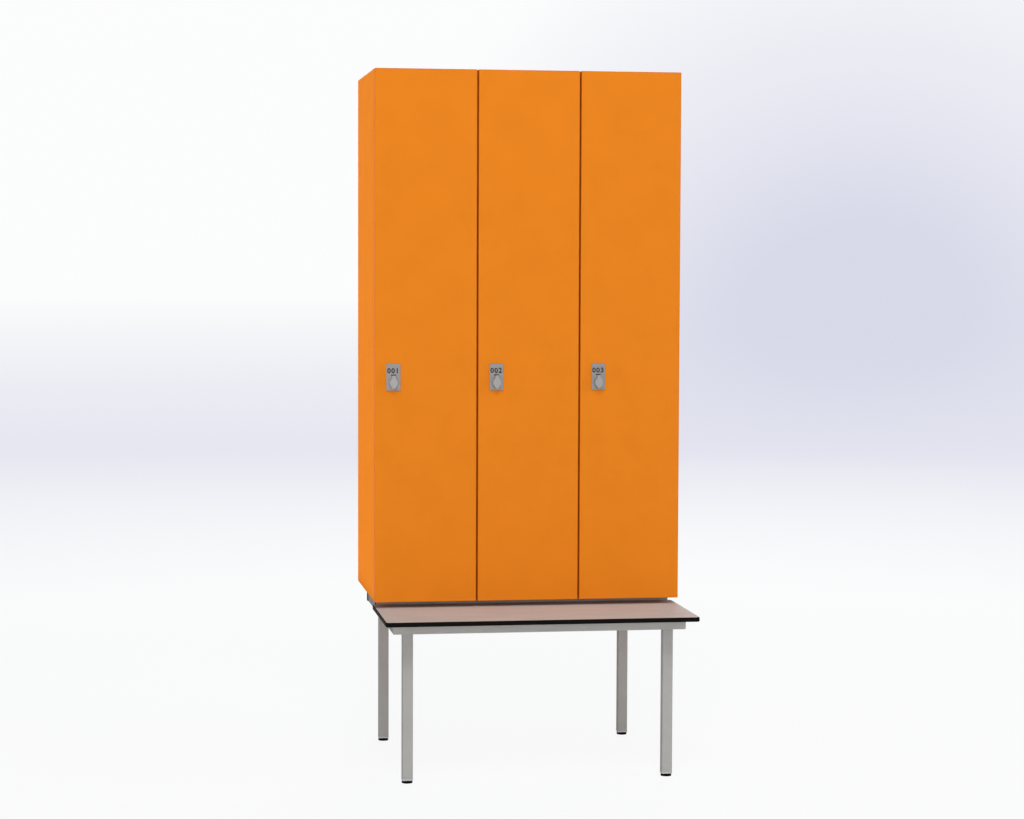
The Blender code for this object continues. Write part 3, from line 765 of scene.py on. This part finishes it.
def add_end_cap(name, node, side):
    """A black plastic plug in the open end of a square tube."""
    wall = 0.0024
    reach = 0.009
    thick = 0.0016
    corner = 0.0028
    edge = 0.0004
    inset = GAP * 2
    low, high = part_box(node)
    face = high.x if side > 0 else low.x
    near, far = sorted((face - side * reach, face + side * inset))
    stem = start_box(name, (near, low.y + wall, low.z + wall), (far, high.y - wall, high.z - wall))
    near, far = sorted((face + side * GAP, face + side * thick))
    cap = start_box("cap", (near, low.y + inset, low.z + inset), (far, high.y - inset, high.z - inset))
    pick_edges(cap, lambda a, b: abs(a.x - b.x) > GAP)
    round_picked(corner, steps=4)
    soften(cap, edge)
    finish(join([cap, stem], name), "black", LOCKER, "black_plastic")


# Cabinet


def add_board(node, face, edge, slot, body=LOCKER):
    """A laminated board with softened edges, its cut edges banded in their own finish."""
    rounding = 0.0008
    low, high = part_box(node)
    board = start_box(node + "_board", low, high)
    size = high - low
    thin = min(range(3), key=lambda axis: size[axis])
    soften(board, rounding, steps=3)
    board.data.materials.append(LOOKS[face])
    board.data.materials.append(LOOKS[edge])
    for polygon in board.data.polygons:
        polygon.material_index = 0 if abs(polygon.normal[thin]) > FLAT else 1
    return finish(board, None, body, slot, node)


def add_carcass():
    """The fixed boards. The bottom panel is grey inside and orange underneath."""
    for hand in ("left", "right"):
        add_board(f"side_panel_{hand}", "orange", "orange edge shaded", "orange_laminate")
        add_board(f"partition_{hand}", "grey", "orange edge shaded", "grey_laminate")
    add_board("top_panel", "orange", "orange edge shaded", "orange_laminate")
    floor = add_board("bottom_panel", "grey", "orange edge shaded", "grey_laminate")
    floor.data.materials.append(LOOKS["orange"])
    for polygon in floor.data.polygons:
        if polygon.normal.z < -FLAT:
            polygon.material_index = 2
    add_board("back_panel", "grey", "grey edge", "grey_laminate")
    for number in DOORS:
        add_board(f"shelf_{number}", "grey", "grey edge", "grey_laminate")


def add_back_screws(screw):
    """Screws round the back panel's edge."""
    inset = 0.009
    upright_steps = 6
    cross_steps = 4
    low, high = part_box("back_panel")
    places = []
    pitch = (high.z - low.z - 2 * inset) / upright_steps
    for x in (low.x + inset, high.x - inset):
        places += [(x, high.y, low.z + inset + step * pitch) for step in range(upright_steps + 1)]
    pitch = (high.x - low.x - 2 * inset) / cross_steps
    for z in (low.z + inset, high.z - inset):
        places += [(low.x + inset + step * pitch, high.y, z) for step in range(1, cross_steps)]
    finish(set_out(screw, "back_panel_screws", places, (0, 1, 0)), "zinc", LOCKER, "zinc_metal")


def add_shelf_pins():
    """Shelf supports: a collar on the wall and a pin under the shelf."""
    collar_radius = 0.0055
    collar_thick = 0.0016
    collar_edge = 0.0005
    stem_radius = 0.0025
    stem_long = 0.010
    stem_edge = 0.0008
    below_shelf = 0.0028
    from_edge = 0.045
    place = (0, 0, collar_thick / 2)
    collar = start_round("shelf_pin", place, collar_radius, collar_thick, "Z", sides=28)
    soften(collar, collar_edge, steps=3)
    stem = start_round("stem", (0, 0, stem_long / 2), stem_radius, stem_long, "Z", sides=20)
    soften(stem, stem_edge, steps=3)
    pin = join([collar, stem], "shelf_pin")
    pins = []
    for number in DOORS:
        low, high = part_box(f"shelf_{number}")
        z = low.z - below_shelf
        for y in (low.y + from_edge, high.y - from_edge):
            pins.append(copy_to(pin, "pin", (low.x - GAP, y, z), (1, 0, 0)))
            pins.append(copy_to(pin, "pin", (high.x + GAP, y, z), (-1, 0, 0)))
    discard(pin)
    finish(join(pins, "shelf_pins"), "zinc", LOCKER, "zinc_metal")


def add_coat_rail(number, screw):
    """A chrome tube between two flanged sockets."""
    tube_radius = 0.0125
    tube_wall = 0.0015
    end_play = 0.002
    flange_radius = 0.023
    flange_thick = 0.003
    flange_edge = 0.0010
    sleeve_radius = 0.016
    sleeve_start = 0.001
    sleeve_long = 0.011
    sleeve_edge = 0.0008
    screw_spread = 0.0195
    screw_size = 0.85
    low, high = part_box(f"coat_rail_{number}")
    middle = (low + high) / 2
    length = high.x - low.x - 2 * end_play
    tube = start_round(f"coat_rail_tube_{number}", middle, tube_radius, length, "X", sides=64)
    pick_faces(tube, lambda normal: abs(normal.x) > FLAT)
    bpy.ops.mesh.inset(thickness=tube_wall)
    bpy.ops.object.mode_set(mode="OBJECT")
    finish(tube, "chrome", LOCKER, "chrome_tube", f"coat_rail_{number}")
    sockets = []
    screws = []
    for wall, inward in ((low.x, 1), (high.x, -1)):
        place = (wall + inward * flange_thick / 2, middle.y, middle.z)
        flange = start_round("flange", place, flange_radius, flange_thick, "X", sides=64)
        soften(flange, flange_edge, steps=3)
        place = (wall + inward * (sleeve_start + sleeve_long / 2), middle.y, middle.z)
        sleeve = start_round("sleeve", place, sleeve_radius, sleeve_long, "X", sides=64)
        soften(sleeve, sleeve_edge, steps=3)
        sockets += [flange, sleeve]
        for side in (-screw_spread, screw_spread):
            place = (wall + inward * flange_thick, middle.y, middle.z + side)
            screws.append(copy_to(screw, "socket_screw", place, (inward, 0, 0), screw_size))
    finish(join(sockets, f"coat_rail_sockets_{number}"), "zinc", LOCKER, "chrome_tube")
    finish(join(screws, f"coat_rail_screws_{number}"), "zinc", LOCKER, "zinc_metal")


# Doors


def joint_place(name):
    """Where the frame puts a joint's axis."""
    for joint in frame["joints"]:
        if joint["name"] == name:
            return Vector(joint["pos_m"])
    raise ValueError(name)


def add_door(number):
    """The door board, bored for its hinge cups and its lock, with banded edges."""
    rounding = 0.0014
    cup_radius = 0.0175
    cup_rim = 0.0005
    bore_deep = 0.04
    lock_radius = 0.0098
    node = f"door_{number}"
    low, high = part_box(node)
    lock = joint_place(f"lock_{number}_turn")
    door = start_box(f"door_board_{number}", low, high)
    soften(door, rounding, steps=4)
    for level in LEVELS:
        cup_low, cup_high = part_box(f"hinge_cup_{number}_{level}")
        right = cup_high.x - cup_rim + GAP
        place = (right - cup_radius, cup_low.y + bore_deep / 2, (cup_low.z + cup_high.z) / 2)
        drill(door, place, cup_radius, sides=64, length=bore_deep)
    drill(door, lock, lock_radius)
    door.data.materials.clear()
    for look in ("orange", "orange edge shaded"):
        door.data.materials.append(LOOKS[look])
    for face in door.data.polygons:
        face.material_index = 0 if abs(face.normal.y) > FLAT else 1
    finish(door, None, node, "orange_laminate", node)


def add_hinge_screws(number, screw):
    """Screws in the cups' ears, the arms and the wings."""
    ear_from_pin = 0.0212
    ear_spread = 0.0225
    ear_sink = 0.0001
    arm_from_pin = (0.0267, 0.0577)
    wing_from_pin = 0.0492
    wing_spread = 0.018
    wing_back = 0.0012
    pin = joint_place(f"door_{number}_hinge")
    on_door = []
    on_wall = []
    for level in LEVELS:
        arm_low, arm_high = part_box(f"hinge_arm_{number}_{level}")
        _, cup_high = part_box(f"hinge_cup_{number}_{level}")
        z = (arm_low.z + arm_high.z) / 2
        for side in (-ear_spread, ear_spread):
            place = (pin.x - ear_from_pin, cup_high.y - ear_sink, z + side)
            on_door.append(copy_to(screw, "ear_screw", place, (0, 1, 0)))
        for back in arm_from_pin:
            place = (arm_low.x, pin.y + back, z)
            on_wall.append(copy_to(screw, "arm_screw", place, (-1, 0, 0)))
        for side in (-wing_spread, wing_spread):
            place = (arm_high.x - wing_back, pin.y + wing_from_pin, z + side)
            on_wall.append(copy_to(screw, "wing_screw", place, (-1, 0, 0)))
    finish(join(on_door, f"hinge_cup_screws_{number}"), "zinc", f"door_{number}", "zinc_metal")
    finish(join(on_wall, f"hinge_arm_screws_{number}"), "zinc", LOCKER, "zinc_metal")


# Locks

# The number field's bottom and top, from the plate's top edge
FIELD_BOTTOM = -0.0292
FIELD_TOP = -0.0112
SPINDLE_BORE = 0.0043
SHARP_EDGE = 0.0001


def plate_blank(name, low, high, corner, edge):
    """A flat plate across Y with rounded corners and softened front edges."""
    plate = start_box(name, low, high)
    pick_edges(plate, lambda a, b: abs(a.y - b.y) > GAP)
    round_picked(corner, steps=6)
    pick_edges(plate, lambda a, b: max(a.y, b.y) < low[1] + GAP / 2)
    round_picked(edge)
    return plate


def add_lock_plate(number):
    """The number plate, with its sunk number field and the bore for the spindle."""
    corner = 0.003
    front_edge = 0.0008
    field_inset = 0.0022
    field_corner = 0.0015
    field_sink = 0.0003
    field_front = 0.002
    bore_deep = 0.03
    body = f"door_{number}"
    axis = joint_place(f"lock_{number}_turn")
    low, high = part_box(f"lock_housing_{number}")
    back = axis.y - GAP
    name = f"lock_plate_{number}"
    plate = plate_blank(name, low, (high.x, back, high.z), corner, front_edge)
    field_low = (low.x + field_inset, low.y - field_front, high.z + FIELD_BOTTOM)
    field_high = (high.x - field_inset, low.y + field_sink, high.z + FIELD_TOP)
    field = plate_blank("field", field_low, field_high, field_corner, SHARP_EDGE)
    cut(plate, field)
    drill(plate, axis, SPINDLE_BORE, sides=40, length=bore_deep)
    finish(plate, "plate", body, "lock_plate_grey", f"lock_housing_{number}")
    add_barrel(number, axis, back, high.y)
    add_knob_top_strip(number, axis, low.y)


def add_barrel(number, axis, front, back):
    """The threaded barrel through the door, with its nut and washer behind the door."""
    radius = 0.0095
    edge = 0.0006
    thread_bore = 0.0096
    board = 0.018
    nut_radius = 0.0135
    nut_thick = 0.0040
    nut_middle = 0.0042
    nut_edge = 0.0005
    washer_radius = 0.0150
    washer_thick = 0.0018
    washer_middle = 0.0012
    washer_edge = 0.0004
    body = f"door_{number}"
    middle = (axis.x, (front + back) / 2, axis.z)
    barrel = start_round(f"lock_barrel_{number}", middle, radius, back - front, "Y", sides=56)
    soften(barrel, edge)
    drill(barrel, axis, SPINDLE_BORE, sides=40)
    finish(barrel, "thread", body, "zinc_metal")
    name = f"lock_nut_{number}"
    place = (axis.x, axis.y + board + nut_middle, axis.z)
    nut = start_round(name, place, nut_radius, nut_thick, "Y", sides=6)
    soften(nut, nut_edge, angle=50)
    drill(nut, axis, thread_bore)
    place = (axis.x, axis.y + board + washer_middle, axis.z)
    washer = start_round("washer", place, washer_radius, washer_thick, "Y")
    soften(washer, washer_edge)
    drill(washer, axis, thread_bore)
    finish(join([nut, washer], name), "zinc", body, "zinc_metal")


def add_knob_top_strip(number, axis, front):
    """A black strip right above the knob, between the number and the knob."""
    half = 0.0072
    rise = 0.0196
    tall = 0.0030
    corner = 0.0012
    proud = 0.0002
    deep = 0.002
    slot_low = (axis.x - half, front - proud, axis.z + rise)
    slot_high = (axis.x + half, front + deep, axis.z + rise + tall)
    slot = plate_blank(f"knob_top_strip_{number}", slot_low, slot_high, corner, SHARP_EDGE)
    finish(slot, "black", f"door_{number}", "black_plastic")


def knob_outline(name, axis, low, high, back):
    """A round start whose top is drawn up into a neck and whose foot tapers to a tip."""
    radius = 0.0123
    shoulder_half = 0.0103
    neck_half = 0.0053
    neck_top_half = 0.0049
    neck_foot = 0.013
    shoulder_angle = 33
    shoulder_rise = 0.001
    taper_angle = 36.5
    tip = 0.006
    drop = 0.0015
    bulge = Vector((axis.x, (low.y + back) / 2, axis.z - drop))
    knob = start_round(name, bulge, radius, back - low.y, "Y", sides=96)
    shoulder = math.sin(math.radians(shoulder_angle))
    pick_faces(knob, lambda normal: normal.z > shoulder)
    bpy.ops.mesh.extrude_region_move(TRANSFORM_OT_translate={"value": (0, 0, shoulder_rise)})
    foot = (axis.x, bulge.y, axis.z + neck_foot)
    bpy.ops.transform.resize(value=(neck_half / shoulder_half, 1, 0), center_override=foot)
    rise = high.z - axis.z - neck_foot
    bpy.ops.mesh.extrude_region_move(TRANSFORM_OT_translate={"value": (0, 0, rise)})
    head = (axis.x, bulge.y, high.z)
    bpy.ops.transform.resize(value=(neck_top_half / neck_half, 1, 1), center_override=head)
    bpy.ops.object.mode_set(mode="OBJECT")
    taper = -math.sin(math.radians(taper_angle))
    pick_faces(knob, lambda normal: normal.z < taper)
    bpy.ops.mesh.extrude_region_move(TRANSFORM_OT_translate={"value": (0, 0, 0)})
    bpy.ops.transform.resize(value=(tip / radius, 1, tip / radius), center_override=bulge)
    bpy.ops.transform.translate(value=(0, 0, low.z + tip - bulge.z))
    bpy.ops.object.mode_set(mode="OBJECT")
    return clean_up(knob)


def add_knob(number, screw):
    """The drop-shaped turn knob with its neck up, on its spindle, and the screw that holds the cam."""
    front_edge = 0.0016
    face_rim = 0.0018
    face_sink = 0.0004
    spindle_radius = 0.004
    square_half = 0.0028
    square_overlap = 0.001
    square_edge = 0.0003
    washer_radius = 0.0065
    washer_thick = 0.0014
    washer_edge = 0.0003
    washer_middle = 0.0009
    bolt_seat = 0.0016
    bolt_size = 1.5
    body = f"lock_{number}"
    node = f"lock_knob_{number}"
    name = f"turn_knob_{number}"
    axis = joint_place(f"lock_{number}_turn")
    low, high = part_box(node)
    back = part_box(f"lock_housing_{number}")[0].y - GAP
    knob = knob_outline(name, axis, low, high, back)
    pick_edges(knob, lambda a, b: max(a.y, b.y) < low.y + GAP / 2)
    round_picked(front_edge, steps=5)
    pick_faces(knob, lambda normal: normal.y < -FLAT)
    bpy.ops.mesh.inset(thickness=face_rim)
    bpy.ops.transform.translate(value=(0, face_sink, 0))
    bpy.ops.object.mode_set(mode="OBJECT")
    spindle_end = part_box(f"lock_cam_{number}")[0].y - GAP
    middle = (axis.x, (back + spindle_end) / 2, axis.z)
    spindle = start_round("spindle", middle, spindle_radius, spindle_end - back, "Y", sides=40)
    square_low = (axis.x - square_half, spindle_end - square_overlap, axis.z - square_half)
    square_high = (axis.x + square_half, high.y, axis.z + square_half)
    square = soften(start_box("square", square_low, square_high), square_edge)
    finish(join([knob, spindle, square], name), "knob", body, "zinc_metal", node)
    name = f"cam_washer_{number}"
    place = (axis.x, high.y + washer_middle, axis.z)
    washer = start_round(name, place, washer_radius, washer_thick, "Y", sides=40)
    soften(washer, washer_edge)
    place = (axis.x, high.y + bolt_seat, axis.z)
    bolt = copy_to(screw, "cam_bolt", place, (0, 1, 0), bolt_size)
    finish(join([washer, bolt], name), "zinc", body, "zinc_metal")


def add_strike_screws(number, screw):
    """Two screws through the strike plate into the partition or panel."""
    wall = 0.002
    from_back = 0.011
    spread = 0.014
    low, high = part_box(f"strike_plate_{number}")
    middle = (low.z + high.z) / 2
    places = [(low.x + wall, high.y - from_back, middle + side) for side in (-spread, spread)]
    piece = set_out(screw, f"strike_screws_{number}", places, (1, 0, 0))
    finish(piece, "zinc", LOCKER, "zinc_metal")


def printed_digit(character, tall, widest):
    """One digit as a thin upright mesh round the origin, facing the front."""
    stroke = 0.028
    extrude = 0.01
    flatten = 0.012
    clear_selection()
    bpy.ops.object.text_add()
    letter = bpy.context.object.data
    letter.body = character
    letter.extrude = extrude
    letter.offset = stroke
    bpy.ops.object.convert(target="MESH")
    digit = bpy.context.object
    points = [vertex.co for vertex in digit.data.vertices]
    left = min(point.x for point in points)
    right = max(point.x for point in points)
    bottom = min(point.y for point in points)
    top = max(point.y for point in points)
    scale = tall / (top - bottom)
    across = min(scale, widest / (right - left))
    digit.data.transform(Matrix.Translation((-(left + right) / 2, -(bottom + top) / 2, 0)))
    digit.data.transform(Matrix.Diagonal((across, scale, flatten, 1)))
    digit.data.transform(Matrix.Rotation(math.radians(90), 4, "X"))
    return digit


def add_number(number):
    """The door's plain number, printed in the plate's number field."""
    tall = 0.0150
    widest = 0.0100
    pitch = 0.0120
    shift = 0.0010
    sink = 0.0002
    low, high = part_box(f"lock_housing_{number}")
    across = (low.x + high.x) / 2 - shift
    middle = Vector((across, low.y + sink, high.z + (FIELD_BOTTOM + FIELD_TOP) / 2))
    digits = []
    for place, character in enumerate(f"{number:03d}"):
        digit = printed_digit(character, tall, widest)
        digit.data.transform(Matrix.Translation(middle + Vector(((place - 1) * pitch, 0, 0))))
        digits.append(digit)
    finish(join(digits, f"door_number_{number}"), "ink", f"door_{number}", "lock_plate_grey")


# Stage, light and camera


def add_stage():
    """A wide round floor that curves up all round into a backdrop."""
    sides = 96
    start = 4
    near = 8
    flat = 12
    bend = 4
    steps = 16
    wall = 10
    clear_selection()
    bpy.ops.mesh.primitive_circle_add(vertices=sides, radius=start, fill_type="NGON")
    floor = settle(bpy.context.object, "floor_and_backdrop")
    bpy.ops.object.mode_set(mode="EDIT")
    bpy.ops.mesh.select_mode(type="EDGE")
    bpy.ops.mesh.select_all(action="SELECT")
    bpy.ops.mesh.region_to_loop()
    rims = [(near, 0), (flat, 0)]
    for step in range(1, steps + 1):
        angle = math.radians(90 * step / steps)
        rims.append((flat + bend * math.sin(angle), bend * (1 - math.cos(angle))))
    rims.append((flat + bend, wall))
    reach = start
    height = 0
    for next_reach, next_height in rims:
        rise = next_height - height
        bpy.ops.mesh.extrude_region_move(TRANSFORM_OT_translate={"value": (0, 0, rise)})
        grown = next_reach / reach
        bpy.ops.transform.resize(value=(grown, grown, 1), center_override=(0, 0, next_height))
        reach = next_reach
        height = next_height
    bpy.ops.object.mode_set(mode="OBJECT")
    bpy.ops.object.shade_smooth()
    floor.data.materials.append(stage_white())


def add_lamp(name, place, target, size, power):
    """A round softbox that looks at a target."""
    clear_selection()
    bpy.ops.object.light_add(type="AREA", location=place)
    lamp = bpy.context.object
    lamp.name = name
    lamp.data.shape = "DISK"
    lamp.data.size = size
    lamp.data.energy = power
    lamp.visible_camera = False
    lamp.rotation_euler = (Vector(target) - Vector(place)).to_track_quat("-Z", "Y").to_euler()


def add_grid_box(name, side, power):
    """A wide softbox with a grid, whose light goes straight at one side of the cabinet."""
    distance = 6.5
    middle = (0, 0.15, 1.35)
    width = 1.5
    height = 1.72
    spread = 1
    add_lamp(name, (side * distance, middle[1], middle[2]), middle, width, power)
    box = bpy.context.object
    box.data.shape = "RECTANGLE"
    box.data.size_y = height
    box.data.spread = math.radians(spread)
    box.visible_glossy = False


def add_world():
    """A soft even sky, which the camera sees as white."""
    world = bpy.data.worlds.new("soft_studio")
    bpy.context.scene.world = world
    world.use_nodes = True
    nodes = world.node_tree.nodes
    links = world.node_tree.links
    sky = nodes["Background"]
    sky.inputs["Color"].default_value = (*SKY_COLOUR, 1)
    path = nodes.new("ShaderNodeLightPath")
    level = nodes.new("ShaderNodeMapRange")
    level.inputs["To Min"].default_value = SKY_LIGHT
    level.inputs["To Max"].default_value = 1.0
    links.new(path.outputs["Is Camera Ray"], level.inputs["Value"])
    links.new(level.outputs["Result"], sky.inputs["Strength"])


def add_lights():
    """The sky, four round softboxes and a gridded one on each side."""
    middle = (0, 0, 1.0)
    add_world()
    add_lamp("front_lamp", (-2.6, -8.6, 1.1), middle, 4.0, 232)
    add_lamp("top_lamp", (-0.8, -4.8, 6.4), middle, 3.0, 172)
    add_grid_box("left_box", -1, 4.3)
    add_grid_box("right_box", 1, 2.4)
    add_lamp("right_lamp", (6.5, -2.0, 4.0), middle, 3.0, 90)
    add_lamp("back_lamp", (2.0, 7.5, 4.5), middle, 3.0, 190)


def add_camera():
    """The camera that matches the photo."""
    clear_selection()
    bpy.ops.object.camera_add(location=CAMERA_PLACE)
    camera = bpy.context.object
    turn = Matrix.Rotation(math.radians(-CAMERA_YAW), 4, "Z")
    tilt = Matrix.Rotation(math.radians(90 + CAMERA_PITCH), 4, "X")
    roll = Matrix.Rotation(math.radians(CAMERA_ROLL), 4, "Z")
    camera.rotation_euler = (turn @ tilt @ roll).to_euler()
    camera.data.lens = CAMERA_LENS
    camera.data.sensor_width = SENSOR_WIDTH
    bpy.context.scene.camera = camera


def main():
    """Builds every piece, the stage, the lights and the camera."""
    dress_nodes()
    screw = cross_screw()
    bolt = hex_bolt()
    add_seat()
    add_seat_tabs(screw)
    add_frame_bolts(bolt)
    add_welds()
    add_feet()
    for hand, side in (("left", -1), ("right", 1)):
        add_end_cap(f"bearer_cap_{hand}", "cabinet_bearer", side)
        add_end_cap(f"rear_rail_cap_{hand}", "rear_rail", side)
    add_carcass()
    add_back_screws(screw)
    add_shelf_pins()
    for number in DOORS:
        add_coat_rail(number, screw)
        add_door(number)
        add_hinge_screws(number, screw)
        add_lock_plate(number)
        add_knob(number, screw)
        add_strike_screws(number, screw)
        add_number(number)
    discard(screw, bolt)
    add_stage()
    add_lights()
    add_camera()


main()
bpy.context.scene.view_settings.view_transform = "Standard"
